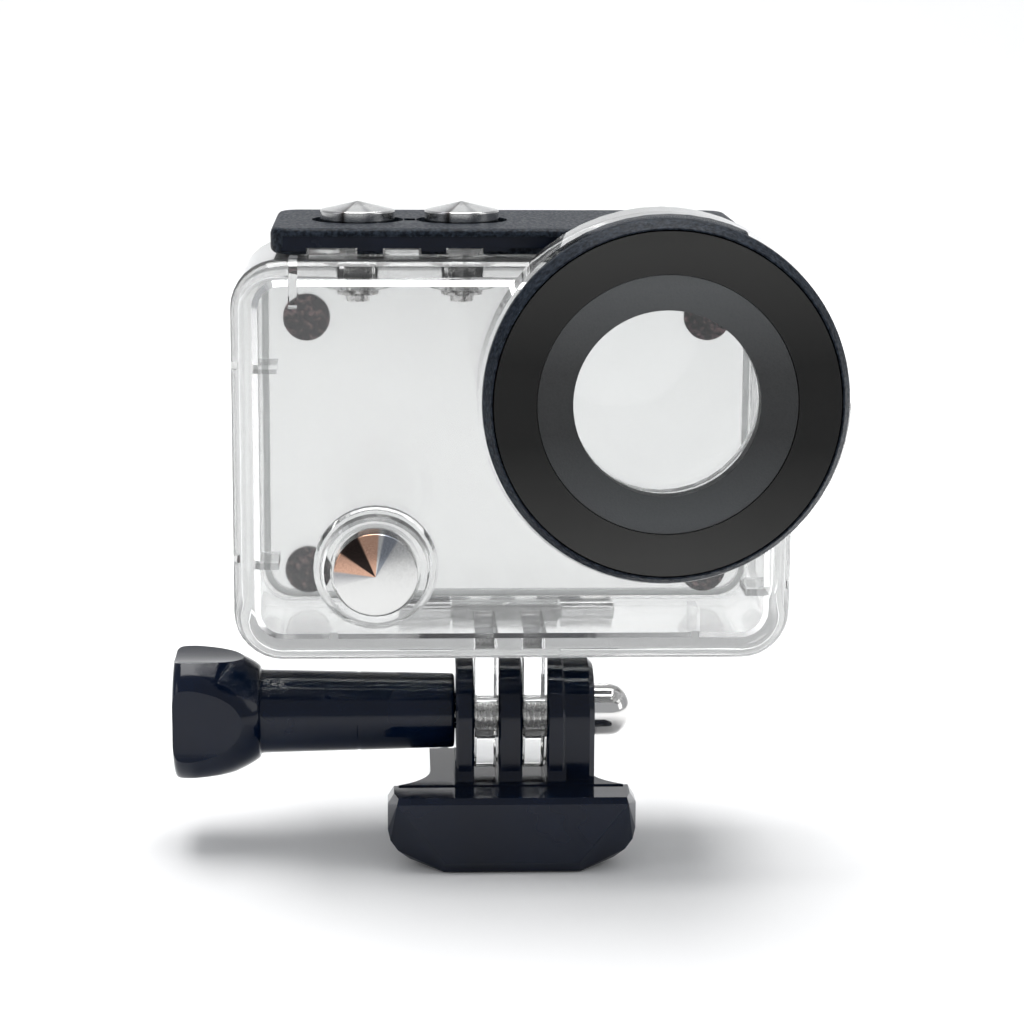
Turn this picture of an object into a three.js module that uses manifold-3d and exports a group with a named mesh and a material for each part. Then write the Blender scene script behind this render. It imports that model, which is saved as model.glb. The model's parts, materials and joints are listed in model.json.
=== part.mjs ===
// Clear waterproof housing for a small action camera, clamped on a quick-release buckle.
// Millimetres, +Z up, the front faces -Y, X to the viewer's right.
// The origin is on the buckle's underside, straight below the tilt screw's axis.
import * as THREE from 'three';
import { mergeVertices } from 'three/addons/utils/BufferGeometryUtils.js';
import { ConvexGeometry } from 'three/addons/geometries/ConvexGeometry.js';
import Module from 'manifold-3d';

const wasm = await Module();
wasm.setup();

// ---------- driving dimensions ----------
const GAP = 0.3; // clearance between pieces that move or rest on each other
const FIT = 0.07; // radial running clearance of a pin in its hole
const BEYOND = 1; // how far a cutting tool runs past what it cuts
const BURY = 0.4; // how far a joined shape runs into the wall it stands on

// tilt joint, on the common three-finger and two-finger pattern
const TILT_Z = 17.5;
const FINGER_PITCH = 3.15; // a finger's middle, and half the pitch of the slots
const FINGER_THICK = 3.0;
const CASE_FINGER_R = 7.6;
const PRONG_R = 7.3;
const OUTER_PRONG_X = 7.1;
const NUT_BOSS_X = 11.0;
const SCREW_R = 2.45; // M5
const SCREW_HOLE_R = 2.65;
const SLOT_WIDTH = FINGER_THICK + 0.2;
const MID_PRONG_HALF = FINGER_PITCH - SLOT_WIDTH / 2;
const OUTER_PRONG_IN = MID_PRONG_HALF + SLOT_WIDTH;

// quick-release buckle
const BLOCK = { front: -15.5, halfW: 16.0, top: 9.9, flatHalfW: 9.2, cornerZ: 4.9, back: -8.5, slope: 3.6 };
const PLATFORM = { halfW: 10.4, neckHalfW: 14.6, neckBack: -2.6, back: 8.2 };
const RAIL_BACK = 13.5;
const RAIL_HALF_W = 12.6;
const RAIL_SIDE_HEIGHT = 1.6;
const RAIL_HEIGHT = 2.6;
const TONGUE = { halfW: 5.0, front: 8, back: 22 };
const ARM_HEIGHT = 4.6;
const SLOT = { floor: 9.0, front: -7.9, back: 8.5 }; // between the fingers

// domed nut, held in a boss on the right
const NUT_FLAT = 4.0; // from the axis to a flat
const NUT_POCKET_FLAT = NUT_FLAT + 0.12;
const NUT_DOME = { r: 3.45, from: 13.4, rise: 2.75 };

// thumb screw on the left
const SCREW = { from: -23.8, to: 13.7, chamfer: 0.5 };
const SLEEVE = { end: -OUTER_PRONG_X - 0.12, rOut: 5.5, rIn: 4.9 };
const KNOB = { out: -43.8, in: -32.6, scoops: 4, scoopR: 30, scoopFloor: 7.35 };

// case: a rounded box with an open back
const CASE_HALF_W = 35.4;
const CASE_BOTTOM = 27.3;
const CASE_TOP = 78.4;
const CASE_CORNER_R = 6.2;
const CASE_FRONT = -13.0;
const CASE_BACK = 14.0;
const WALL = 2.6;
const INNER_HALF_W = CASE_HALF_W - WALL;
const INNER_BOTTOM = CASE_BOTTOM + WALL;
const INNER_TOP = CASE_TOP - WALL;
const INNER_FRONT = CASE_FRONT + WALL;
const CASE_EDGE_R = 2.2;

// the space for a camera, and the ribs that hold it there
const CAMERA_HALF_W = 29.7;
const CAMERA_BOTTOM = 33.4;
const CAMERA_TOP = 72.2;
const RIB = { thick: 1.1, deep: 6, leftZ: [39.6, 64.6], rightZ: 36.0, floorX: [-22.8, 23.4], roofX: -27.65 };

// lens port
const LENS = { x: 18.1, z: 62.1 };
const COLLAR_R = 22.9;
const COLLAR_NECK_R = 20.8;
const COLLAR_STEP = -20.7;
const COLLAR_FRONT = -21.6;
const BEZEL_FRONT = -24.4;
const WINDOW_R = 13.6;
const WINDOW_OPENING_R = 11.45;
const LENS_ROOM_R = 14.6;
const LENS_ROOM_FRONT = -15.2;
const LENS_THROAT_R = 11.9;

// back door and its bottom hinge
const DOOR_FRONT = CASE_BACK + GAP;
const DOOR_BACK = 16.6;
const DOOR_HINGE = { y: 15.8, z: 25.1 };
const KNUCKLE_R = 2.1;
const DOOR_PIN_R = 1.0;
const DOOR_KNUCKLE_X = 7.2;
const CASE_LUG_X = [7.5, 14.5];
const PLATEAU_FRONT = 12.5;
const PLATEAU = { halfW: 31.6, bottom: 31.1, top: 74.6, r: 3.2 };
const PAD = { x: 26.6, low: 34.25, high: 68.4, r: 3.1, thick: 1.5 };

// latch bar, hinged along the front of the case's top
const LATCH_PIN = { y: -7.4, z: 80.3 };
const LATCH_PIN_R = 0.5;
const LATCH_TOP = 82.0;
const LATCH_HALF_W = 29.9;
const LATCH_CORNER_R = 3.0;
const LATCH_MID_X = -0.6;
const LATCH_FRONT = -9.2;
const LATCH_BACK = 18.4;
const LATCH_PLATE_UNDER = 79.8;
const LATCH_UNDER = CASE_TOP + GAP;
const LATCH_WINDOWS = [[-26.0, -19.6], [-16.4, -11.6], [-8.5, -3.8], [5.0, 10.0], [14.0, 19.0]];

// buttons
const TOP_BUTTONS = [
  { name: 'shutter_button', x: -19.7 },
  { name: 'mode_button', x: -6.3 },
];
const TOP_BUTTON_Y = 3.5;
const TOP_CAP_R = 4.8;
const TOP_CAP_RIM = 83.3;
const CONE_RISE = 1.1;
const LATCH_HOLE_R = 5.9;
const FRONT_BUTTON = { x: -17.4, z: 39.8 };
const FRONT_CAP_R = 5.25;
const FRONT_CAP_RIM = -18.0;
const STEM_R = 1.5;
const STEM_LOW = 71.6;
const CLIP_Z = 72.7;
const FRONT_STEM_BACK = -7.0;
const FRONT_CLIP_Y = -8.0;
const SPRING = { topR: 3.3, frontR: 3.5, wire: 0.25, turns: 3 };
const BUTTON_SEAL = { r: 2.15, wire: 0.45, roomR: 2.75 };

// ---------- materials ----------
function material(color, roughness, metalness = 0, opacity = 1) {
  return new THREE.MeshStandardMaterial({ color, roughness, metalness, opacity, transparent: opacity < 1 });
}

const clearPlastic = material('#e4e8ea', 0.06, 0, 0.3);
const lensClear = material('#eef2f3', 0.03, 0, 0.3);
const glossBlack = material('#0d1118', 0.12);
const textureBlack = material('#2b3038', 0.55);
const trimBlack = material('#2c2c2a', 0.18);
const satinGrey = material('#47484a', 0.45);
const chrome = material('#d9d9d6', 0.12, 1);
const steel = material('#b4b4b0', 0.28, 1);
const silicone = material('#dfe1df', 0.5, 0, 0.7);
const foam = material('#4a3b3e', 0.95);
const rubber = material('#1b1b1b', 0.7);

// ---------- solids ----------
function solid(geometry) {
  const bare = geometry.index ? geometry.toNonIndexed() : geometry.clone();
  bare.deleteAttribute('normal');
  bare.deleteAttribute('uv');
  const merged = mergeVertices(bare, 1e-4);
  return new wasm.Manifold(new wasm.Mesh({
    numProp: 3,
    vertProperties: merged.attributes.position.array,
    triVerts: new Uint32Array(merged.index.array),
  }));
}

function geometryOf(manifold) {
  const mesh = manifold.getMesh();
  const geometry = new THREE.BufferGeometry();
  geometry.setAttribute('position', new THREE.BufferAttribute(mesh.vertProperties, 3));
  geometry.setIndex(new THREE.BufferAttribute(mesh.triVerts, 1));
  return geometry;
}

function join(first, ...rest) {
  return rest.reduce((whole, next) => whole.add(next), first);
}

function cut(first, ...rest) {
  return rest.reduce((whole, next) => whole.subtract(next), first);
}

function box(x0, x1, y0, y1, z0, z1) {
  const geometry = new THREE.BoxGeometry(x1 - x0, y1 - y0, z1 - z0);
  return solid(geometry.translate((x0 + x1) / 2, (y0 + y1) / 2, (z0 + z1) / 2));
}

function signedArea(points) {
  return points.reduce((sum, p, i) => {
    const next = points[(i + 1) % points.length];
    return sum + (p.x * next.y - next.x * p.y) / 2;
  }, 0);
}

// a closed profile turned about an axis; each point is [radius, place along the axis]
function turned(profile, axis, at = {}, segments = 40) {
  const points = profile.map(([r, along]) => new THREE.Vector2(r, along));
  if (signedArea(points) < 0) points.reverse();
  const geometry = new THREE.LatheGeometry(points, segments);
  if (axis === 'z') geometry.rotateX(Math.PI / 2);
  if (axis === 'x') geometry.rotateZ(-Math.PI / 2);
  return solid(geometry.translate(at.x ?? 0, at.y ?? 0, at.z ?? 0));
}

function rod(radius, from, to, axis, at, segments = 28) {
  return turned([[0, from], [radius, from], [radius, to], [0, to]], axis, at, segments);
}

function ring(inner, outer, from, to, axis, at, segments = 40) {
  const profile = [[inner, from], [outer, from], [outer, to], [inner, to], [inner, from]];
  return turned(profile, axis, at, segments);
}

// a rectangle with round corners, from v0 to v1 in its second coordinate
function roundedRect(halfW, v0, v1, r, midU = 0) {
  const left = midU - halfW;
  const right = midU + halfW;
  const shape = new THREE.Shape();
  shape.moveTo(left + r, v0);
  shape.lineTo(right - r, v0);
  shape.absarc(right - r, v0 + r, r, -Math.PI / 2, 0, false);
  shape.lineTo(right, v1 - r);
  shape.absarc(right - r, v1 - r, r, 0, Math.PI / 2, false);
  shape.lineTo(left + r, v1);
  shape.absarc(left + r, v1 - r, r, Math.PI / 2, Math.PI, false);
  shape.lineTo(left, v0 + r);
  shape.absarc(left + r, v0 + r, r, Math.PI, Math.PI * 1.5, false);
  return shape;
}

function polygon(points) {
  const shape = new THREE.Shape();
  points.forEach(([x, y], i) => (i ? shape.lineTo(x, y) : shape.moveTo(x, y)));
  shape.closePath();
  return shape;
}

// a shape in (x, z), pushed along Y from y0 to y1, with its edges rounded by bevel
function alongY(shape, y0, y1, bevel = 0, curveSegments = 4, bevelSegments = 3) {
  const geometry = new THREE.ExtrudeGeometry(shape, {
    depth: y1 - y0 - 2 * bevel,
    bevelEnabled: bevel > 0,
    bevelThickness: bevel,
    bevelSize: bevel,
    bevelOffset: -bevel,
    bevelSegments,
    curveSegments,
  });
  return solid(geometry.rotateX(Math.PI / 2).translate(0, y1 - bevel, 0));
}

// a shape in (x, y), pushed along Z from z0 to z1
function alongZ(shape, z0, z1, bevel = 0, curveSegments = 4, bevelSegments = 3) {
  const geometry = new THREE.ExtrudeGeometry(shape, {
    depth: z1 - z0 - 2 * bevel,
    bevelEnabled: bevel > 0,
    bevelThickness: bevel,
    bevelSize: bevel,
    bevelOffset: -bevel,
    bevelSegments,
    curveSegments,
  });
  return solid(geometry.translate(0, 0, z0 + bevel));
}

// a shape in (y, z), pushed along X from x0 to x1
function alongX(shape, x0, x1, bevel = 0, curveSegments = 8, bevelSegments = 1) {
  const geometry = new THREE.ExtrudeGeometry(shape, {
    depth: x1 - x0 - 2 * bevel,
    bevelEnabled: bevel > 0,
    bevelThickness: bevel,
    bevelSize: bevel,
    bevelOffset: -bevel,
    bevelSegments,
    curveSegments,
  });
  geometry.rotateY(Math.PI / 2).rotateX(Math.PI / 2);
  return solid(geometry.translate(x0 + bevel, 0, 0));
}

// the outline of a finger seen from the side: a round end about (0, z), on a straight root that ends at rootZ
function fingerShape(r, z, rootZ) {
  const shape = new THREE.Shape();
  const upwards = rootZ > z;
  shape.moveTo(-r, z);
  shape.absarc(0, z, r, Math.PI, upwards ? Math.PI * 2 : 0, !upwards);
  shape.lineTo(r, rootZ);
  shape.lineTo(-r, rootZ);
  shape.closePath();
  return shape;
}

// ---------- quick-release buckle ----------
// the wide front block: a flat trapezium face, with sloping facets back to the full outline
function buckleBlock() {
  const { front, halfW, top, flatHalfW, cornerZ, back, slope } = BLOCK;
  const face = [[14.8, front, 9.2], [8.6, front, 1.4], [14.6, front + 0.7, top], [8.8, front + 0.9, 0]];
  const outline = [[halfW, 8.4], [halfW - 0.8, 9.7]];
  const steps = 5;
  for (let i = 0; i <= steps; i++) {
    const a = (i / steps) * (Math.PI / 2);
    outline.push([flatHalfW + (halfW - flatHalfW) * Math.sin(a), cornerZ * (1 - Math.cos(a))]);
  }
  const corners = [
    ...face,
    ...outline.map(([x, z]) => [x, front + slope, z]),
    ...outline.map(([x, z]) => [x, back, z]),
  ];
  const points = corners.flatMap(([x, y, z]) => [new THREE.Vector3(x, y, z), new THREE.Vector3(-x, y, z)]);
  return solid(new ConvexGeometry(points));
}

// behind the block, and on top of the rails, the plan narrows in a hollow curve to the finger platform
function bucklePlatform() {
  const { halfW, neckHalfW, neckBack, back } = PLATFORM;
  const front = BLOCK.back - 0.5;
  const bendX = halfW + 0.2;
  const bendY = -6.6;
  const shape = new THREE.Shape();
  shape.moveTo(-neckHalfW, front);
  shape.lineTo(neckHalfW, front);
  shape.quadraticCurveTo(bendX, bendY, halfW, neckBack);
  shape.lineTo(halfW, back);
  shape.lineTo(-halfW, back);
  shape.lineTo(-halfW, neckBack);
  shape.quadraticCurveTo(-bendX, bendY, -neckHalfW, front);
  return alongZ(shape, RAIL_HEIGHT - 0.5, BLOCK.top, 0, 6);
}

// the low rails that slide into a mount, and the tongue behind them
function buckleRails() {
  const right = [[RAIL_HALF_W, 0], [RAIL_HALF_W, RAIL_SIDE_HEIGHT], [RAIL_HALF_W - 1, RAIL_HEIGHT]];
  const left = right.map(([x, z]) => [-x, z]).reverse();
  const section = polygon([...right, ...left]);
  const rails = alongY(section, BLOCK.back, RAIL_BACK);
  const tongue = box(-TONGUE.halfW, TONGUE.halfW, TONGUE.front, TONGUE.back, 0, RAIL_HEIGHT);
  return join(rails, tongue);
}

// one of the two springy arms, with a catch near its end
function buckleArm(side) {
  const shape = polygon([[6.8, 7.5], [9.0, 7.5], [9.0, 18.0], [10.0, 19.6], [10.0, 23.0], [9.2, 26.4],
    [7.6, 27.0], [6.8, 25.6]].map(([x, y]) => [side * x, y]));
  return alongZ(shape, 0, ARM_HEIGHT);
}

// three prongs, each on a foot that slopes forwards
function buckleProngs() {
  const shape = fingerShape(PRONG_R, TILT_Z, SLOT.floor - 1);
  const footFrom = -PRONG_R + 0.5;
  const footLow = SLOT.floor - 0.5;
  const foot = polygon([[footFrom, 12.6], [footFrom - 1.4, footLow], [footFrom, footLow]]);
  const footWider = 0.15;
  const spans = [
    [-MID_PRONG_HALF, MID_PRONG_HALF],
    [-OUTER_PRONG_X, -OUTER_PRONG_IN],
    [OUTER_PRONG_IN, OUTER_PRONG_X],
  ];
  return join(...spans.flatMap(([x0, x1]) => [
    alongX(shape, x0, x1, 0.3),
    alongX(foot, x0 - footWider, x1 + footWider),
  ]));
}

// a six-sided rod about the tilt axis, with flat as the distance from its axis to a flat
function hexRod(flat, from, to) {
  return rod(flat / Math.cos(Math.PI / 6), from, to, 'x', { z: TILT_Z }, 6);
}

function nutBoss() {
  const shape = fingerShape(PRONG_R - 0.3, TILT_Z, SLOT.floor - 1);
  const body = alongX(shape, OUTER_PRONG_X - 0.8, NUT_BOSS_X, 0.7);
  return cut(body, hexRod(NUT_POCKET_FLAT, OUTER_PRONG_X + GAP, NUT_BOSS_X + BEYOND));
}

function quickReleaseBuckle() {
  const body = join(buckleBlock(), bucklePlatform(), buckleRails(), buckleArm(-1), buckleArm(1),
    buckleProngs(), nutBoss());
  const screwHole = rod(SCREW_HOLE_R, -OUTER_PRONG_X - BEYOND, NUT_BOSS_X + BEYOND, 'x', { z: TILT_Z });
  const slots = [[-OUTER_PRONG_IN, -MID_PRONG_HALF], [MID_PRONG_HALF, OUTER_PRONG_IN]]
    .map(([x0, x1]) => box(x0, x1, SLOT.front, SLOT.back, SLOT.floor, CASE_BOTTOM));
  return cut(body, screwHole, ...slots);
}

function capNut() {
  const { r, from, rise } = NUT_DOME;
  const hex = hexRod(NUT_FLAT, OUTER_PRONG_X + GAP * 2, NUT_BOSS_X - 0.2);
  const dome = [[0, NUT_BOSS_X - 1], [r, NUT_BOSS_X - 1], [r, from]];
  const steps = 4;
  for (let i = 1; i <= steps; i++) {
    const a = (i / steps) * (Math.PI / 2);
    dome.push([r * Math.cos(a), from + rise * Math.sin(a)]);
  }
  const body = join(hex, turned(dome, 'x', { z: TILT_Z }, 28));
  return cut(body, rod(SCREW_R + 0.1, OUTER_PRONG_X, SCREW.to + GAP, 'x', { z: TILT_Z }));
}

// ---------- thumb screw ----------
// a bell on the end of a tapered sleeve, with shallow finger scoops round it
function thumbKnob() {
  const bell = [[0, KNOB.out], [8.2, KNOB.out], [8.8, KNOB.out + 0.35], [9.05, KNOB.out + 1.0], [9.1, -41.4],
    [8.9, -39.8], [8.55, -38.0], [8.0, -36.2], [7.2, -34.5], [6.5, -33.3], [6.0, KNOB.in]];
  const sleeve = [[SLEEVE.rOut, KNOB.in], [5.2, -20.0], [SLEEVE.rIn, SLEEVE.end], [0, SLEEVE.end]];
  const body = turned([...bell, ...sleeve], 'x', { z: TILT_Z }, 48);
  const scoops = [];
  for (let i = 0; i < KNOB.scoops; i++) {
    const a = (i / KNOB.scoops) * Math.PI * 2;
    const reach = KNOB.scoopFloor + KNOB.scoopR;
    const at = { y: reach * Math.cos(a), z: TILT_Z + reach * Math.sin(a) };
    scoops.push(rod(KNOB.scoopR, KNOB.out - BEYOND, KNOB.in + BEYOND, 'x', at, 120));
  }
  const screwHole = rod(SCREW_R + FIT, SCREW.from - 0.2, SLEEVE.end + BEYOND, 'x', { z: TILT_Z });
  return cut(body, ...scoops, screwHole);
}

function clampScrew() {
  const { from, to, chamfer } = SCREW;
  return turned([[0, from], [SCREW_R, from], [SCREW_R, to - chamfer], [SCREW_R - chamfer, to], [0, to]],
    'x', { z: TILT_Z }, 28);
}

// ---------- front case ----------
function caseShell() {
  const overrun = 6; // the rounded back edge, cut off again
  const outer = alongY(roundedRect(CASE_HALF_W, CASE_BOTTOM, CASE_TOP, CASE_CORNER_R), CASE_FRONT,
    CASE_BACK + overrun, CASE_EDGE_R, 4, 3);
  const room = alongY(roundedRect(INNER_HALF_W, INNER_BOTTOM, INNER_TOP, CASE_CORNER_R - WALL),
    INNER_FRONT, CASE_BACK + overrun + 3, 0.8, 3, 1);
  const behind = box(-CASE_HALF_W - BEYOND, CASE_HALF_W + BEYOND, CASE_BACK, CASE_BACK + overrun + BEYOND,
    CASE_BOTTOM - BEYOND, CASE_TOP + BEYOND);
  return cut(outer, room, behind);
}

function lensCollar() {
  return turned([[0, INNER_FRONT - 0.5], [COLLAR_R, INNER_FRONT - 0.5], [COLLAR_R, COLLAR_STEP],
    [COLLAR_NECK_R, COLLAR_STEP], [COLLAR_NECK_R, COLLAR_FRONT], [0, COLLAR_FRONT]],
  'y', { x: LENS.x, z: LENS.z }, 56);
}

function lensBores() {
  const at = { x: LENS.x, z: LENS.z };
  return [
    rod(LENS_ROOM_R, LENS_ROOM_FRONT, INNER_FRONT + BURY, 'y', at, 40),
    rod(LENS_THROAT_R, -18, -14, 'y', at, 36),
    rod(WINDOW_R + GAP, COLLAR_FRONT - BEYOND, -17.2, 'y', at, 40),
  ];
}

// short ribs that stand off the walls and hold the camera
function locatingRibs() {
  const half = RIB.thick / 2;
  const front = INNER_FRONT - BURY;
  const back = INNER_FRONT + RIB.deep;
  const wall = INNER_HALF_W + BURY;
  const left = RIB.leftZ.map((z) => box(-wall, -CAMERA_HALF_W, front, back, z - half, z + half));
  const right = box(CAMERA_HALF_W, wall, front, back, RIB.rightZ - half, RIB.rightZ + half);
  const floor = RIB.floorX.map((x) => box(x - half, x + half, front, back, INNER_BOTTOM - BURY, CAMERA_BOTTOM));
  const roof = box(RIB.roofX - half, RIB.roofX + half, front, back, CAMERA_TOP, INNER_TOP + BURY);
  return [...left, right, ...floor, roof];
}

function caseFingers() {
  const shape = fingerShape(CASE_FINGER_R, TILT_Z, CASE_BOTTOM + 1);
  const hole = rod(SCREW_HOLE_R, -12, 12, 'x', { z: TILT_Z });
  return [-1, 1].map((side) => {
    const mid = side * FINGER_PITCH;
    return cut(alongX(shape, mid - FINGER_THICK / 2, mid + FINGER_THICK / 2, 0.25, 8), hole);
  });
}

function doorHingeLugs() {
  const { y, z } = DOOR_HINGE;
  const arm = polygon([[8.5, CASE_BOTTOM + 0.3], [CASE_BACK, CASE_BOTTOM + 0.3], [CASE_BACK, z + KNUCKLE_R],
    [y, z + KNUCKLE_R], [y, z - KNUCKLE_R], [y - 1.6, z - KNUCKLE_R + 0.5], [8.5, CASE_BOTTOM - 0.2]]);
  const hole = rod(DOOR_PIN_R + FIT, -20, 20, 'x', DOOR_HINGE);
  return [-1, 1].map((side) => {
    const ends = CASE_LUG_X.map((x) => side * x).sort((a, b) => a - b);
    return cut(join(alongX(arm, ends[0], ends[1]), rod(KNUCKLE_R, ends[0], ends[1], 'x', DOOR_HINGE)), hole);
  });
}

// each lug reaches back from the pin down to the case's top, clear of the bar's swinging front lip
function latchLug([x0, x1]) {
  const { y, z } = LATCH_PIN;
  const base = CASE_TOP - z - 0.3;
  const neck = polygon([[0.3, -1.05], [0.85, -1.2], [1.05, base], [3.0, base], [2.6, -1.6], [1.0, 0.2], [0, 0]]
    .map(([a, b]) => [y + a, z + b]));
  const lug = join(alongX(neck, x0 + GAP, x1 - GAP), rod(1.08, x0 + GAP, x1 - GAP, 'x', LATCH_PIN, 24));
  return cut(lug, rod(LATCH_PIN_R + FIT, x0, x1, 'x', LATCH_PIN, 24));
}

function topButtonBoss(x) {
  const low = INNER_TOP - 2.4;
  return rod(4.3, low, CASE_TOP - 1, 'z', { x, y: TOP_BUTTON_Y }, 24);
}

function topButtonBore(x) {
  const at = { x, y: TOP_BUTTON_Y };
  return join(rod(STEM_R + FIT, 70, 80, 'z', at, 20), rod(BUTTON_SEAL.roomR, CASE_TOP - 1.5, 80, 'z', at, 24));
}

// a stepped boss in front of the wall, with a well for the front cap
function frontButtonBoss() {
  const at = { x: FRONT_BUTTON.x, z: FRONT_BUTTON.z };
  const outside = turned([[0, -16.2], [6.5, -16.2], [6.9, -15.8], [7.1, -14.4], [7.5, -14.3], [7.85, -13.9],
    [7.9, CASE_FRONT + 0.3], [0, CASE_FRONT + 0.3]], 'y', at, 36);
  const inside = rod(4.4, INNER_FRONT - 1, INNER_FRONT + 1.9, 'y', at, 24);
  return join(outside, inside);
}

function frontButtonBore() {
  const at = { x: FRONT_BUTTON.x, z: FRONT_BUTTON.z };
  return join(rod(5.7, -18, -12.4, 'y', at, 36), rod(BUTTON_SEAL.roomR, -13, -10.9, 'y', at, 24),
    rod(STEM_R + FIT, -14, 0, 'y', at, 20));
}

function frontCase() {
  const body = join(caseShell(), lensCollar());
  const opened = cut(body, ...lensBores());
  const fitted = join(opened, ...locatingRibs(), ...caseFingers(), ...doorHingeLugs(),
    ...LATCH_WINDOWS.map(latchLug), ...TOP_BUTTONS.map((b) => topButtonBoss(b.x)), frontButtonBoss());
  return cut(fitted, ...TOP_BUTTONS.map((b) => topButtonBore(b.x)), frontButtonBore());
}

// ---------- lens port ----------
function lensBezel() {
  const back = COLLAR_STEP - GAP;
  const neck = COLLAR_NECK_R + 0.15;
  const lip = COLLAR_FRONT - 0.2;
  return turned([[22.5, back], [22.45, -22.3], [21.5, BEZEL_FRONT], [21.3, BEZEL_FRONT], [21.3, -22.95],
    [16.2, -22.95], [16.2, lip], [neck, lip], [neck, back], [22.5, back]],
  'y', { x: LENS.x, z: LENS.z }, 56);
}

function bezelTrimRing() {
  return ring(15.95, 21.15, BEZEL_FRONT + 0.05, -23.1, 'y', { x: LENS.x, z: LENS.z }, 56);
}

function lensShade() {
  return turned([[WINDOW_OPENING_R, -20.8], [WINDOW_OPENING_R, -23.2], [15.75, -24.15], [15.75, -22.6],
    [13.6, -22.6], [13.6, -20.8], [WINDOW_OPENING_R, -20.8]],
  'y', { x: LENS.x, z: LENS.z }, 48);
}

function lensWindow() {
  return turned([[0, -20.5], [WINDOW_R - 0.3, -20.5], [WINDOW_R, -20.2], [WINDOW_R, -18.6],
    [WINDOW_R - 0.3, -18.3], [0, -18.3]], 'y', { x: LENS.x, z: LENS.z }, 40);
}

// a ring of round section, drawn with six sides
function oRing(radius, wire, along, axis, at, segments = 20) {
  const profile = [];
  for (let i = 0; i <= 6; i++) {
    const a = (i / 6) * Math.PI * 2;
    profile.push([radius + wire * Math.cos(a), along + wire * Math.sin(a)]);
  }
  return turned(profile, axis, at, segments);
}

function windowSeal() {
  return oRing(12.8, 0.4, -17.75, 'y', { x: LENS.x, z: LENS.z }, 32);
}

// ---------- back door ----------
function backDoor() {
  const plate = alongY(roundedRect(CASE_HALF_W, CASE_BOTTOM + 0.2, CASE_TOP - 0.2, CASE_CORNER_R),
    DOOR_FRONT, DOOR_BACK, 0.6, 4, 2);
  const plateau = alongY(roundedRect(PLATEAU.halfW, PLATEAU.bottom, PLATEAU.top, PLATEAU.r),
    PLATEAU_FRONT, DOOR_FRONT + 0.5, 0, 4);
  const { y, z } = DOOR_HINGE;
  const armTop = 29.5;
  const arm = polygon([[DOOR_FRONT + BURY, armTop], [DOOR_BACK - 0.3, armTop], [y + KNUCKLE_R, z], [y, z - 1],
    [DOOR_FRONT + BURY, z]]);
  const knuckle = join(alongX(arm, -DOOR_KNUCKLE_X, DOOR_KNUCKLE_X),
    rod(KNUCKLE_R, -DOOR_KNUCKLE_X, DOOR_KNUCKLE_X, 'x', DOOR_HINGE));
  return cut(join(plate, plateau, knuckle), rod(DOOR_PIN_R + FIT, -20, 20, 'x', DOOR_HINGE));
}

function doorSeal() {
  const out = 0.95;
  const outer = roundedRect(PLATEAU.halfW + out, PLATEAU.bottom - out, PLATEAU.top + out, PLATEAU.r + out);
  const gap = 0.1;
  const inner = roundedRect(PLATEAU.halfW + gap, PLATEAU.bottom - gap, PLATEAU.top + gap, PLATEAU.r + gap);
  return cut(alongY(outer, PLATEAU_FRONT + 0.3, DOOR_FRONT - 0.1, 0.25, 4, 1), alongY(inner, 10, 16, 0, 4));
}

function foamPad(x, z) {
  return turned([[0, -PAD.thick], [PAD.r - 0.15, -PAD.thick], [PAD.r, -PAD.thick + 0.15], [PAD.r, 0], [0, 0]],
    'y', { x, y: PLATEAU_FRONT - 0.02, z }, 24);
}

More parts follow.
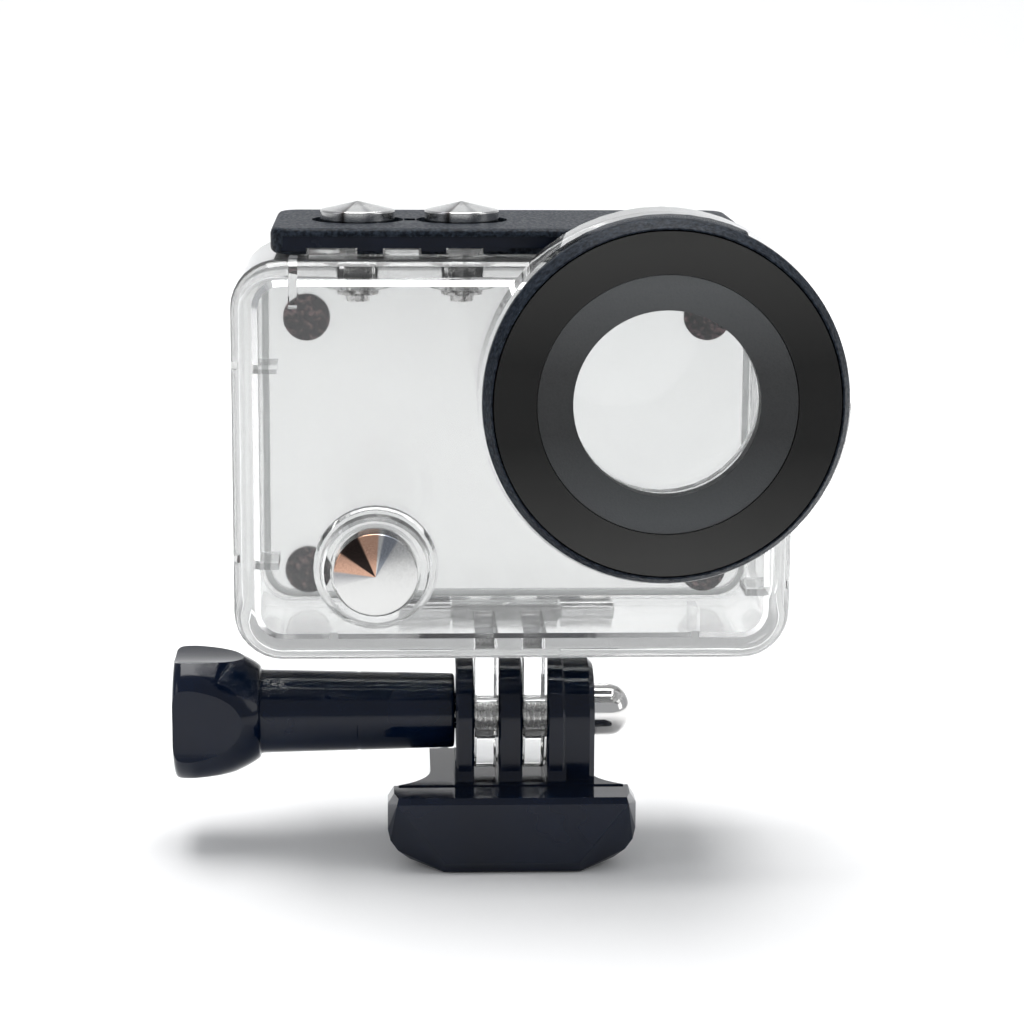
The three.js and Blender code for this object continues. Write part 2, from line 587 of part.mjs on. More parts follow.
// ---------- latch bar ----------
// a shallow tray turned over, with holes for the top buttons and pockets for the case's lugs
function latchBar() {
  const { y, z } = LATCH_PIN;
  const plan = roundedRect(LATCH_HALF_W, LATCH_FRONT, LATCH_BACK, LATCH_CORNER_R, LATCH_MID_X);
  const slab = alongZ(plan, LATCH_UNDER, LATCH_TOP, 0.8, 3, 3);
  const innerHalf = LATCH_HALF_W - 1.6;
  const hollow = box(LATCH_MID_X - innerHalf, LATCH_MID_X + innerHalf, y + 1.9, LATCH_BACK - 1.5,
    LATCH_UNDER - 1, LATCH_PLATE_UNDER);
  // the smooth skirt below the rounded lip
  const skirtFace = box(LATCH_MID_X - innerHalf, LATCH_MID_X + innerHalf, LATCH_FRONT - 1, LATCH_FRONT + 0.45,
    LATCH_UNDER - 1, LATCH_TOP - 1.0);
  // under the front lip the skirt steps back and its foot is chamfered, so that it can turn about the pin
  const skirtStep = alongX(polygon([[LATCH_FRONT - 1, z - 0.75], [y - 1.3, z - 0.75], [y - 1.3, z - 1.15],
    [y - 0.75, LATCH_UNDER], [y - 0.75, LATCH_UNDER - 1], [LATCH_FRONT - 1, LATCH_UNDER - 1]]), -40, 40);
  const pocketTop = z + 1.2;
  const pocketBack = y + 3.6;
  const pocket = polygon([[y - 1.3, z - 0.75], [y - 1.3, pocketTop], [pocketBack, pocketTop],
    [pocketBack, LATCH_UNDER - 1], [LATCH_FRONT - 1, LATCH_UNDER - 1], [LATCH_FRONT - 1, z - 0.75]]);
  const pockets = LATCH_WINDOWS.map(([x0, x1]) => alongX(pocket, x0, x1));
  const holes = TOP_BUTTONS.map((b) => rod(LATCH_HOLE_R, LATCH_UNDER - 1, LATCH_TOP + 1, 'z',
    { x: b.x, y: TOP_BUTTON_Y }, 36));
  const slot = box(-13.7, -12.3, TOP_BUTTON_Y - 1.3, TOP_BUTTON_Y + 1.3, LATCH_UNDER - 1, LATCH_TOP + 1);
  const doorRelief = box(-40, 40, CASE_BACK - 6, DOOR_BACK + 0.4, LATCH_UNDER - 1, LATCH_PLATE_UNDER);
  const panel = box(-0.7, 4.4, LATCH_FRONT - 1, y - 1.0, z - 1.5, z - 0.75);
  const pinHole = rod(LATCH_PIN_R + FIT, -27.6, 27.6, 'x', LATCH_PIN, 24);
  return cut(slab, hollow, skirtFace, skirtStep, ...pockets, ...holes, slot, doorRelief, panel, pinHole);
}

// ---------- buttons ----------
// a cap with a skirt, a rim and a shallow cone; outward is the sign of the way that it faces
function buttonCap(radius, rim, outward, axis, at) {
  const s = outward;
  const profile = [[2.2, rim - s * 1.0], [2.2, rim - s * 1.35], [radius - 0.9, rim - s * 1.35],
    [radius - 0.9, rim - s * 3.4], [radius, rim - s * 3.4], [radius, rim - s * 0.15],
    [radius - 0.15, rim], [0, rim + s * CONE_RISE], [0, rim - s * 1.0], [2.2, rim - s * 1.0]];
  return turned(profile, axis, at, 36);
}

function stem(from, to, axis, at, clipAt) {
  const groove = [[STEM_R, clipAt - 0.25], [1.1, clipAt - 0.25], [1.1, clipAt + 0.25], [STEM_R, clipAt + 0.25]];
  return turned([[0, from], [STEM_R, from], ...groove, [STEM_R, to], [0, to]], axis, at, 16);
}

function clip(along, axis, at) {
  const washer = ring(1.15, 2.7, along - 0.2, along + 0.2, axis, at, 20);
  const mouth = axis === 'z'
    ? box(at.x - 0.9, at.x + 0.9, at.y - 5, at.y, along - 1, along + 1)
    : box(at.x - 0.9, at.x + 0.9, along - 1, along + 1, at.z - 5, at.z);
  return cut(washer, mouth);
}

// a helical wire between two levels on its axis
function coilSpring(radius, from, to, axis, at) {
  const { wire, turns } = SPRING;
  const stepsPerTurn = 10;
  const points = [];
  const steps = turns * stepsPerTurn;
  const low = Math.min(from, to) + wire;
  const high = Math.max(from, to) - wire;
  for (let i = 0; i <= steps; i++) {
    const a = (i / stepsPerTurn) * Math.PI * 2;
    const level = low + ((high - low) * i) / steps;
    points.push(axis === 'z'
      ? new THREE.Vector3(radius * Math.cos(a), radius * Math.sin(a), level)
      : new THREE.Vector3(radius * Math.cos(a), level, radius * Math.sin(a)));
  }
  const section = new THREE.Shape();
  section.absarc(0, 0, wire, 0, Math.PI * 2, false);
  const geometry = new THREE.ExtrudeGeometry(section, {
    steps,
    curveSegments: 2,
    bevelEnabled: false,
    extrudePath: new THREE.CatmullRomCurve3(points),
  });
  return solid(geometry.translate(at.x ?? 0, at.y ?? 0, at.z ?? 0));
}

function topSpring(at) {
  return coilSpring(SPRING.topR, CASE_TOP + 0.1, TOP_CAP_RIM - 1.45, 'z', at);
}

function frontSpring(at) {
  return coilSpring(SPRING.frontR, FRONT_CAP_RIM + 1.45, -12.5, 'y', at);
}

// ---------- assembly ----------
const part = new THREE.Group();

function addPiece(name, manifold, look) {
  const mesh = new THREE.Mesh(geometryOf(manifold), look);
  mesh.name = name;
  part.add(mesh);
}

addPiece('quick_release_buckle', quickReleaseBuckle(), glossBlack);
addPiece('cap_nut', capNut(), chrome);
addPiece('thumb_knob', thumbKnob(), glossBlack);
addPiece('clamp_screw', clampScrew(), steel);
addPiece('front_case', frontCase(), clearPlastic);
addPiece('lens_bezel', lensBezel(), textureBlack);
addPiece('bezel_trim_ring', bezelTrimRing(), trimBlack);
addPiece('lens_shade', lensShade(), satinGrey);
addPiece('lens_window', lensWindow(), lensClear);
addPiece('window_seal', windowSeal(), rubber);
addPiece('door_hinge_pin', rod(DOOR_PIN_R, -14.4, 14.4, 'x', DOOR_HINGE, 28), steel);
addPiece('latch_pin', rod(LATCH_PIN_R, -27.3, 27.3, 'x', LATCH_PIN, 20), steel);
addPiece('back_door', backDoor(), clearPlastic);
addPiece('door_seal', doorSeal(), silicone);
addPiece('pad_upper_left', foamPad(-PAD.x, PAD.high), foam);
addPiece('pad_upper_right', foamPad(PAD.x, PAD.high), foam);
addPiece('pad_lower_left', foamPad(-PAD.x, PAD.low), foam);
addPiece('pad_lower_right', foamPad(PAD.x, PAD.low), foam);
addPiece('latch_bar', latchBar(), textureBlack);

for (const { name, x } of TOP_BUTTONS) {
  const at = { x, y: TOP_BUTTON_Y };
  addPiece(name + '_cap', buttonCap(TOP_CAP_R, TOP_CAP_RIM, 1, 'z', at), chrome);
  addPiece(name + '_stem', stem(STEM_LOW, TOP_CAP_RIM - 1.2, 'z', at, CLIP_Z), steel);
  addPiece(name + '_clip', clip(CLIP_Z, 'z', at), steel);
  addPiece(name + '_spring', topSpring(at), steel);
  addPiece(name + '_seal', oRing(BUTTON_SEAL.r, BUTTON_SEAL.wire, CASE_TOP - 0.9, 'z', at), rubber);
}

const front = { x: FRONT_BUTTON.x, z: FRONT_BUTTON.z };
addPiece('power_button_cap', buttonCap(FRONT_CAP_R, FRONT_CAP_RIM, -1, 'y', front), chrome);
addPiece('power_button_stem', stem(FRONT_CAP_RIM + 1.2, FRONT_STEM_BACK, 'y', front, FRONT_CLIP_Y), steel);
addPiece('power_button_clip', clip(FRONT_CLIP_Y, 'y', front), steel);
addPiece('power_button_spring', frontSpring(front), steel);
addPiece('power_button_seal', oRing(BUTTON_SEAL.r, BUTTON_SEAL.wire, -11.6, 'y', front), rubber);

export default part;
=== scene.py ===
import json
import math

import bmesh
import bpy
from mathutils import Matrix, Vector

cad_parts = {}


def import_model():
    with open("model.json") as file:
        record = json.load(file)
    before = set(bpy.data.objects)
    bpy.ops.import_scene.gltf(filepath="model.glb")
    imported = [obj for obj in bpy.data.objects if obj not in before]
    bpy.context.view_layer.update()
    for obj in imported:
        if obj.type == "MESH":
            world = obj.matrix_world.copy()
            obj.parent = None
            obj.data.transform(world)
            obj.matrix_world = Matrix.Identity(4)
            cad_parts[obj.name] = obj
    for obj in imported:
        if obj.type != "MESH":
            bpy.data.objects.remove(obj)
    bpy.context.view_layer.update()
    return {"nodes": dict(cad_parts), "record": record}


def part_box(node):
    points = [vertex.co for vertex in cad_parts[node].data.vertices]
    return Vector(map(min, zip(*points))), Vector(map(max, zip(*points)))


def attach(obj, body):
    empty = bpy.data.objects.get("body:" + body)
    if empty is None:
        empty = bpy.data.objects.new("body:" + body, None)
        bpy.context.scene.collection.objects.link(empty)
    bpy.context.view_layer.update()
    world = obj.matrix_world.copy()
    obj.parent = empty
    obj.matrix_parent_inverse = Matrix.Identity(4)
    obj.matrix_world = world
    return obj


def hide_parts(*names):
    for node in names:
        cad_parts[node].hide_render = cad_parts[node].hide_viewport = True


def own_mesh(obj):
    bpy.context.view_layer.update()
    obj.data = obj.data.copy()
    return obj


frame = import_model()

# Looks of a clear waterproof camera housing on a quick-release buckle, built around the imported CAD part.
# Lengths are in millimetres, apart from the stage, the lights and the camera: they are in metres, as the
# scene itself is. The frame is the CAD part's.
NODES = frame["nodes"]
BODY_OF = {node: body for body, nodes in frame["record"]["behaviour"]["bodies"].items() for node in nodes}
SLOT_OF = {row["node"]: row["material_slot"] for row in frame["record"]["subparts"]}
MM = 0.001

TILT_Z = 17.5
LENS = (18.1, 0.0, 62.1)
SHUTTER = (-19.7, 3.5, 0.0)
MODE = (-6.3, 3.5, 0.0)
POWER = (-17.4, 0.0, 39.8)
DOOR_HINGE = (0.0, 15.8, 25.1)
LATCH_HINGE = (0.0, -7.4, 80.3)
ON_AXIS = 1e-6  # a radius below this is a point on the axis


# ---------- materials ----------
class Look:
    """A Principled material, and short ways to add procedural detail in object coordinates."""

    def __init__(self, name, colour, roughness, metallic=0.0, **sockets):
        self.material = bpy.data.materials.new(name)
        self.material.use_nodes = True
        self.tree = self.material.node_tree
        self.shader = self.tree.nodes["Principled BSDF"]
        self.set("Base Color", (*colour, 1.0))
        self.set("Roughness", roughness)
        self.set("Metallic", metallic)
        for socket, value in sockets.items():
            self.set(socket.replace("_", " "), value)
        self.place = self.node("ShaderNodeTexCoord").outputs["Object"]
        self.normal = None

    def set(self, socket, value):
        self.shader.inputs[socket].default_value = value

    def node(self, kind, **inputs):
        made = self.tree.nodes.new(kind)
        for socket, value in inputs.items():
            made.inputs[socket.replace("_", " ")].default_value = value
        return made

    def link(self, source, target):
        self.tree.links.new(source, target)

    def noise(self, grain_mm, detail=2.0, stretch=(1, 1, 1)):
        """A noise pattern whose blobs are about grain_mm across, stretched along an axis."""
        mapping = self.node("ShaderNodeMapping")
        mapping.inputs["Scale"].default_value = [1.0 / s for s in stretch]
        self.link(self.place, mapping.inputs["Vector"])
        made = self.node("ShaderNodeTexNoise", Scale=1.0 / (grain_mm * MM), Detail=detail, Roughness=0.6)
        self.link(mapping.outputs["Vector"], made.inputs["Vector"])
        return made.outputs["Fac"]

    def remap(self, source, low, high, start=0.35, end=0.65):
        made = self.node("ShaderNodeMapRange")
        made.inputs["From Min"].default_value = start
        made.inputs["From Max"].default_value = end
        made.inputs["To Min"].default_value = low
        made.inputs["To Max"].default_value = high
        self.link(source, made.inputs["Value"])
        return made.outputs["Result"]

    def ramp(self, source, stops):
        made = self.node("ShaderNodeValToRGB")
        elements = made.color_ramp.elements
        while len(elements) < len(stops):
            elements.new(0.5)
        for element, (place, colour) in zip(elements, stops):
            element.position = place
            element.color = (*colour, 1.0)
        self.link(source, made.inputs["Fac"])
        return made.outputs["Color"]

    def rough(self, source, low, high):
        self.link(self.remap(source, low, high), self.shader.inputs["Roughness"])
        return self

    def colour(self, source, dark, light, start=0.35, end=0.65):
        self.link(self.ramp(source, [(start, dark), (end, light)]), self.shader.inputs["Base Color"])
        return self

    def radial_tangent(self, axis):
        """Points the stretched highlights of an anisotropic look along circles about axis."""
        tangent = self.node("ShaderNodeTangent")
        tangent.direction_type = "RADIAL"
        tangent.axis = axis
        self.link(tangent.outputs["Tangent"], self.shader.inputs["Tangent"])

    def bump(self, source, depth_mm, strength=1.0):
        made = self.node("ShaderNodeBump", Strength=strength, Distance=depth_mm * MM)
        self.link(source, made.inputs["Height"])
        if self.normal:
            self.link(self.normal, made.inputs["Normal"])
        self.normal = made.outputs["Normal"]
        self.link(self.normal, self.shader.inputs["Normal"])
        return self


def clear_plastic(name="clear_plastic", tint=(0.95, 0.953, 0.95), clarity=0.965):
    """Moulded polycarbonate with a faint haze, gentle waves and fine draw lines."""
    look = Look(name, tint, 0.03, IOR=1.49, Transmission_Weight=clarity)
    look.rough(look.noise(9, 4), 0.01, 0.07)
    look.bump(look.noise(22, 1), 0.06, 0.5)
    look.bump(look.noise(0.5, 2, (1, 1, 14)), 0.002, 0.4)
    return look.material


def lens_glass():
    look = Look("lens_glass", (0.97, 0.975, 0.975), 0.01, IOR=1.49, Transmission_Weight=1.0)
    look.rough(look.noise(12, 3), 0.0, 0.03)
    return look.material


def gloss_black():
    look = Look("gloss_black_plastic", (0.003, 0.006, 0.015), 0.1, IOR=1.46, Specular_IOR_Level=0.34)
    look.rough(look.noise(6, 4), 0.07, 0.16)
    look.colour(look.noise(14, 3), (0.0006, 0.003, 0.011), (0.0015, 0.006, 0.020))
    look.bump(look.noise(9, 2, (3, 1, 1)), 0.05, 0.5)
    look.bump(look.noise(0.35, 2, (18, 1, 1)), 0.002, 0.35)
    return look.material


def textured_black():
    look = Look("textured_black_plastic", (0.012, 0.016, 0.026), 0.5, IOR=1.45, Specular_IOR_Level=0.13)
    grain = look.noise(0.45, 2)
    look.rough(grain, 0.36, 0.58)
    look.colour(look.noise(0.5, 2), (0.001, 0.003, 0.007), (0.024, 0.032, 0.045), 0.40, 0.68)
    look.bump(grain, 0.09, 0.8)
    return look.material


def painted_light_lobes(look, centre_z, reach, dark, light):
    """Paints a colour that lightens with the distance above or below centre_z, up to reach. It stands for
    the light that a turned face catches there, and stays in place on the object."""
    darkest, lightest = 0.25, 0.95
    split = look.node("ShaderNodeSeparateXYZ")
    look.link(look.place, split.inputs["Vector"])
    offset = look.node("ShaderNodeMath")
    offset.operation = "SUBTRACT"
    offset.inputs[1].default_value = centre_z * MM
    look.link(split.outputs["Z"], offset.inputs[0])
    size = look.node("ShaderNodeMath")
    size.operation = "ABSOLUTE"
    look.link(offset.outputs["Value"], size.inputs[0])
    part = look.remap(size.outputs["Value"], 0.0, 1.0, 0.0, reach * MM)
    look.link(look.ramp(part, [(darkest, dark), (lightest, light)]), look.shader.inputs["Base Color"])


def smooth_black():
    """The latch's polished skirt."""
    look = Look("smooth_black_plastic", (0.004, 0.008, 0.020), 0.2, IOR=1.45, Specular_IOR_Level=0.25)
    look.rough(look.noise(5, 3), 0.16, 0.28)
    look.colour(look.noise(9, 3), (0.003, 0.006, 0.015), (0.005, 0.009, 0.022))
    return look.material


def gloss_trim():
    """Turned trim, whose fine circular lines stretch its highlights."""
    look = Look("gloss_trim", (0.0085, 0.0083, 0.0076), 0.34, IOR=1.5, Specular_IOR_Level=0.3,
                Anisotropic=0.85)
    look.radial_tangent("Y")
    look.rough(look.noise(7, 3), 0.3, 0.38)
    # painted highlight: the trim's colour lightens above and below the lens centre and is darkest at its
    # sides
    painted_light_lobes(look, LENS[2], 20, (0.0016, 0.0016, 0.0013), (0.034, 0.0335, 0.032))
    return look.material


def satin_grey():
    look = Look("satin_grey_plastic", (0.05, 0.05, 0.052), 0.5, IOR=1.5)
    grain = look.noise(0.3, 3)
    look.rough(grain, 0.4, 0.6)
    # painted highlight: the shade ring's colour lightens above and below the lens centre
    painted_light_lobes(look, LENS[2], 15, (0.015, 0.016, 0.017), (0.062, 0.066, 0.069))
    look.bump(grain, 0.05, 0.7)
    return look.material


def chrome():
    look = Look("chrome", (0.80, 0.79, 0.78), 0.1, metallic=1.0)
    look.rough(look.noise(1.6, 3), 0.06, 0.14)
    look.bump(look.noise(0.25, 1, (1, 12, 12)), 0.001, 0.3)
    return look.material


def steel():
    look = Look("steel", (0.62, 0.61, 0.60), 0.25, metallic=1.0)
    look.rough(look.noise(0.9, 3), 0.16, 0.32)
    look.colour(look.noise(2.0, 3), (0.50, 0.49, 0.48), (0.68, 0.67, 0.66))
    return look.material


# painted reflections: the light, dark, copper and blue wedges on the spun caps stand for what their chrome
# would mirror
LIGHT, SILVER, GREY = (0.68, 0.68, 0.67), (0.55, 0.55, 0.55), (0.36, 0.36, 0.37)
COPPER, DARK, BLUE = (0.66, 0.40, 0.29), (0.03, 0.022, 0.02), (0.28, 0.30, 0.34)
# places round the cone, from 0 to 1; on the front button 0.5 is its right-hand side and 0.75 its top
FRONT_REFLECTION_WEDGES = [
    (0.0, GREY), (0.03, SILVER), (0.05, LIGHT), (0.58, LIGHT), (0.655, SILVER), (0.667, BLUE),
    (0.712, BLUE), (0.722, LIGHT), (0.732, LIGHT), (0.742, COPPER), (0.812, COPPER), (0.822, DARK),
    (0.905, DARK), (0.915, COPPER), (0.98, COPPER), (0.99, GREY)]
TOP_REFLECTION_WEDGES = [
    (0.0, LIGHT), (0.12, SILVER), (0.16, GREY), (0.19, DARK), (0.205, LIGHT), (0.27, LIGHT),
    (0.30, GREY), (0.33, LIGHT), (0.42, SILVER), (0.5, LIGHT), (0.7, LIGHT), (0.72, GREY),
    (0.76, LIGHT), (1.0, LIGHT)]


def spun_chrome(name, centre, facing):
    """A cone turned on a lathe. What it would mirror is painted on it, as wedges round its centre."""
    in_front = facing == "front"
    look = Look(name, (0.8, 0.8, 0.8), 0.2, metallic=1.0, Anisotropic=0.7)
    mapping = look.node("ShaderNodeMapping")
    mapping.vector_type = "TEXTURE"
    mapping.inputs["Location"].default_value = [c * MM for c in centre]
    mapping.inputs["Rotation"].default_value = (math.pi / 2 if in_front else 0.0, 0.0, 0.0)
    look.link(look.place, mapping.inputs["Vector"])
    turn = look.node("ShaderNodeTexGradient")
    turn.gradient_type = "RADIAL"
    look.link(mapping.outputs["Vector"], turn.inputs["Vector"])
    stops = FRONT_REFLECTION_WEDGES if in_front else TOP_REFLECTION_WEDGES
    look.link(look.ramp(turn.outputs["Fac"], stops), look.shader.inputs["Base Color"])
    look.radial_tangent("Y" if in_front else "Z")
    grain = look.noise(0.22, 2)
    look.rough(grain, 0.12, 0.26)
    look.bump(grain, 0.01, 0.3)
    return look.material


def silicone():
    look = Look("silicone", (0.70, 0.71, 0.71), 0.4, IOR=1.41, Transmission_Weight=0.85)
    look.rough(look.noise(1.5, 3), 0.3, 0.5)
    look.bump(look.noise(0.5, 2), 0.01, 0.4)
    return look.material


def black_rubber():
    look = Look("black_rubber", (0.015, 0.015, 0.016), 0.6)
    look.rough(look.noise(1.0, 3), 0.5, 0.7)
    look.bump(look.noise(0.3, 2), 0.01, 0.4)
    return look.material


def foam():
    look = Look("foam", (0.05, 0.03, 0.035), 0.95, Sheen_Weight=0.15)
    cells = look.noise(0.8, 2)
    look.colour(cells, (0.006, 0.004, 0.005), (0.22, 0.12, 0.13), 0.50, 0.72)
    look.rough(cells, 0.85, 1.0)
    look.bump(cells, 0.2, 0.9)
    return look.material


LOOKS = {
    "clear_plastic": clear_plastic(),
    "lens_glass": lens_glass(),
    "gloss_black_plastic": gloss_black(),
    "textured_black_plastic": textured_black(),
    "gloss_trim": gloss_trim(),
    "satin_grey_plastic": satin_grey(),
    "chrome": chrome(),
    "steel": steel(),
    "silicone": silicone(),
    "black_rubber": black_rubber(),
    "foam": foam(),
}


# ---------- shapes ----------
AXIS_TURN = {
    "x": Matrix.Rotation(math.pi / 2, 4, "Y"),
    "y": Matrix.Rotation(-math.pi / 2, 4, "X"),
    "z": Matrix.Identity(4),
}


def to_metres(bm):
    """Turns the faces of bm outwards, and scales it from millimetres to metres."""
    bmesh.ops.recalc_face_normals(bm, faces=bm.faces)
    bmesh.ops.scale(bm, vec=(MM, MM, MM), verts=bm.verts)
    return bm


def new_object(name, bm):
    """Puts bm, in metres, into the scene, and frees it."""
    mesh = bpy.data.meshes.new(name)
    bm.to_mesh(mesh)
    bm.free()
    obj = bpy.data.objects.new(name, mesh)
    bpy.context.scene.collection.objects.link(obj)
    return obj


def shade(mesh, sharp_deg=32):
    """Smooth shading, apart from edges that are sharper than sharp_deg."""
    mesh.polygons.foreach_set("use_smooth", [True] * len(mesh.polygons))
    mesh.set_sharp_from_angle(angle=math.radians(sharp_deg))


def piece(node, bm, look=None, sharp_deg=32):
    """Makes an object from bm, in metres, that stands for a CAD node and moves with its body."""
    obj = new_object(node + "_look", bm)
    obj.data.materials.append(look or LOOKS[SLOT_OF[node]])
    shade(obj.data, sharp_deg)
    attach(obj, BODY_OF[node])
    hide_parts(node)
    return obj


def soften(obj):
    """Keeps broad faces flat in shading, next to their rounded edges."""
    modifier = obj.modifiers.new("weighted_normals", "WEIGHTED_NORMAL")
    modifier.keep_sharp = True
    return obj


def round_edges(obj, width, segments, angle):
    """Rounds the edges that are sharper than angle."""
    bevel = obj.modifiers.new("edges", "BEVEL")
    bevel.width = width * MM
    bevel.segments = segments
    bevel.limit_method = "ANGLE"
    bevel.angle_limit = math.radians(angle)
    return soften(obj)


def refined_piece(node, width, segments=2, look=None, angle=32):
    """The CAD node's own shape with its edges rounded and its broad faces kept flat."""
    weld, flat_deg = 0.002, 0.6
    bm = bmesh.new()
    bm.from_mesh(NODES[node].data)
    bmesh.ops.remove_doubles(bm, verts=bm.verts, dist=weld * MM)
    bmesh.ops.dissolve_limit(bm, angle_limit=math.radians(flat_deg), verts=bm.verts, edges=bm.edges)
    return round_edges(piece(node, bm, look, angle), width, segments, angle)


def carve(obj, cutters):
    """Cuts other solids out of obj, and leaves only obj."""
    for cutter in cutters:
        modifier = obj.modifiers.new("cut", "BOOLEAN")
        modifier.operation = "DIFFERENCE"
        modifier.solver = "EXACT"
        modifier.object = cutter
    evaluated = obj.evaluated_get(bpy.context.evaluated_depsgraph_get())
    mesh = bpy.data.meshes.new_from_object(evaluated)
    obj.modifiers.clear()
    obj.data = mesh
    for cutter in cutters:
        bpy.data.objects.remove(cutter)


def filleted(points, radius, steps=4):
    """A closed outline of (r, along) points with its corners rounded; points on the axis stay sharp."""
    most_of_edge = 0.45
    out = []
    count = len(points)
    for i, corner in enumerate(points):
        before, after = Vector(points[i - 1]), Vector(points[(i + 1) % count])
        here = Vector(corner)
        if here.x < ON_AXIS:
            out.append(corner)
            continue
        reach_in = min(radius, (before - here).length * most_of_edge)
        reach_out = min(radius, (after - here).length * most_of_edge)
        start = here + (before - here).normalized() * reach_in
        end = here + (after - here).normalized() * reach_out
        for k in range(steps + 1):
            t = k / steps
            p = start * (1 - t) ** 2 + here * 2 * t * (1 - t) + end * t ** 2
            out.append((p.x, p.y))
    return out


def lathe(profile, axis, centre, segments=128):
    """Turns a closed (radius, place along the axis) profile about an axis through centre."""
    bm = bmesh.new()
    angles = [2 * math.pi * i / segments for i in range(segments)]
    rings = []
    for r, along in profile:
        if r < ON_AXIS:
            rings.append([bm.verts.new((0, 0, along))])
        else:
            rings.append([bm.verts.new((r * math.cos(t), r * math.sin(t), along)) for t in angles])
    for a, b in zip(rings, rings[1:] + rings[:1]):
        if len(a) == 1 and len(b) == 1:
            continue
        for i in range(segments):
            j = (i + 1) % segments
            corners = [a[i % len(a)], a[j % len(a)], b[j % len(b)], b[i % len(b)]]
            bm.faces.new(list(dict.fromkeys(corners)))
    bmesh.ops.transform(bm, matrix=Matrix.Translation(centre) @ AXIS_TURN[axis], verts=bm.verts)
    return bm


def turned_piece(node, profile, axis, centre, radius=0.15, segments=128, look=None):
    return soften(piece(node, to_metres(lathe(filleted(profile, radius), axis, centre, segments)), look))


def tube(bm, rings):
    """Joins rings of equally many points one after the other, and closes both ends."""
    for a, b in zip(rings, rings[1:]):
        for k in range(len(a)):
            following = (k + 1) % len(a)
            bm.faces.new((a[k], a[following], b[following], b[k]))
    bm.faces.new(list(reversed(rings[0])))
    bm.faces.new(rings[-1])
    return bm


def sweep(path, wire, sides=12):
    """A round wire along a list of points."""
    bm = bmesh.new()
    rings = []
    turns = [2 * math.pi * k / sides for k in range(sides)]
    out = (path[1] - path[0]).normalized().orthogonal().normalized()
    for i, p in enumerate(path):
        tangent = (path[min(i + 1, len(path) - 1)] - path[max(i - 1, 0)]).normalized()
        out = (out - tangent * out.dot(tangent)).normalized()
        side = tangent.cross(out)
        rings.append([bm.verts.new(p + (out * math.cos(t) + side * math.sin(t)) * wire) for t in turns])
    return tube(bm, rings)


def o_ring(node, radius, wire, along, axis, centre):
    sides, segments = 16, 96
    turns = [2 * math.pi * k / sides for k in range(sides)]
    profile = [(radius + wire * math.cos(t), along + wire * math.sin(t)) for t in turns]
    piece(node, to_metres(lathe(profile, axis, centre, segments)))


# ---------- quick-release buckle and screw ----------
def thumb_knob():
    """A glossy bell on a tapered sleeve, with four finger scoops; a fine seam rings the sleeve half-way."""
    knob_out, knob_in, sleeve_end, beyond = -43.8, -32.6, -7.22, 1.0
    scoops, scoop_r, scoop_floor = 4, 30, 7.35
    bell = [(0, knob_out), (8.2, knob_out), (8.8, -43.45), (9.05, -42.8), (9.1, -41.4), (8.9, -39.8),
            (8.55, -38.0), (8.0, -36.2), (7.2, -34.5), (6.5, -33.3), (6.0, -32.65)]
    sleeve = [(5.5, knob_in), (5.2, -20.0), (5.15, -19.9), (5.15, -19.6), (5.2, -19.5), (4.9, sleeve_end)]
    bore = [(2.52, sleeve_end), (2.52, -24), (0, -24)]
    outline = filleted(bell + sleeve + bore, 0.5, 5)
    obj = piece("thumb_knob", to_metres(lathe(outline, "x", (0, 0, TILT_Z), 160)))
    low, high = knob_out - beyond, knob_in + beyond
    block = [(0, low), (scoop_r, low), (scoop_r, high), (0, high)]
    reach = scoop_floor + scoop_r
    cutters = []
    for i in range(scoops):
        turn = 2 * math.pi / scoops * i
        centre = (0, reach * math.cos(turn), TILT_Z + reach * math.sin(turn))
        cutters.append(new_object("scoop", to_metres(lathe(block, "x", centre, 360))))
    carve(obj, cutters)
    shade(obj.data, 40)
    round_edges(obj, 0.35, 3, 18)


def clamp_screw():
    """A steel screw with a rolled M5 thread over its length."""
    pitch, depth, root, run_out, flat_crest = 0.8, 0.30, 2.14, 0.8, 1.35
    start, end = -23.8, 13.7
    around, per_pitch = 48, 8
    steps = int((end - start) / pitch * per_pitch)
    bm = bmesh.new()
    rings = []
    for i in range(steps + 1):
        x = start + (end - start) * i / steps
        fade = max(0.0, min(1.0, (end - x) / run_out, (x - start) / run_out))
        ring = []
        for k in range(around):
            turn = 2 * math.pi * k / around
            phase = (x / pitch - k / around) % 1.0
            crest = 1 - abs(phase * 2 - 1)
            r = root + depth * min(1.0, crest * flat_crest) * fade
            ring.append(bm.verts.new((x, r * math.cos(turn), r * math.sin(turn) + TILT_Z)))
        rings.append(ring)
    piece("clamp_screw", to_metres(tube(bm, rings)))


refined_piece("quick_release_buckle", 0.4, 3, angle=14)
refined_piece("cap_nut", 0.12)
thumb_knob()
clamp_screw()


# ---------- case, door and latch ----------
def polish_skirt(latch):
    """Gives the smooth look to the latch's skirt, whose front lies just behind its foremost faces."""
    skirt_back, skirt_band, facing_front = 0.6, 0.3, -0.9
    latch.data.materials.append(smooth_black())
    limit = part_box("latch_bar")[0].y + skirt_back * MM
    for face in latch.data.polygons:
        if face.normal.y < facing_front and limit - skirt_band * MM < face.center.y < limit:
            face.material_index = 1


refined_piece("front_case", 0.22)
# painted shade: the back door is tinted darker and less clear than the front case, so that the inside of
# the case looks grey
refined_piece("back_door", 0.22, look=clear_plastic("shade_tinted_clear_plastic", (0.72, 0.725, 0.72), 0.84))
polish_skirt(refined_piece("latch_bar", 0.22))
refined_piece("door_seal", 0.15)

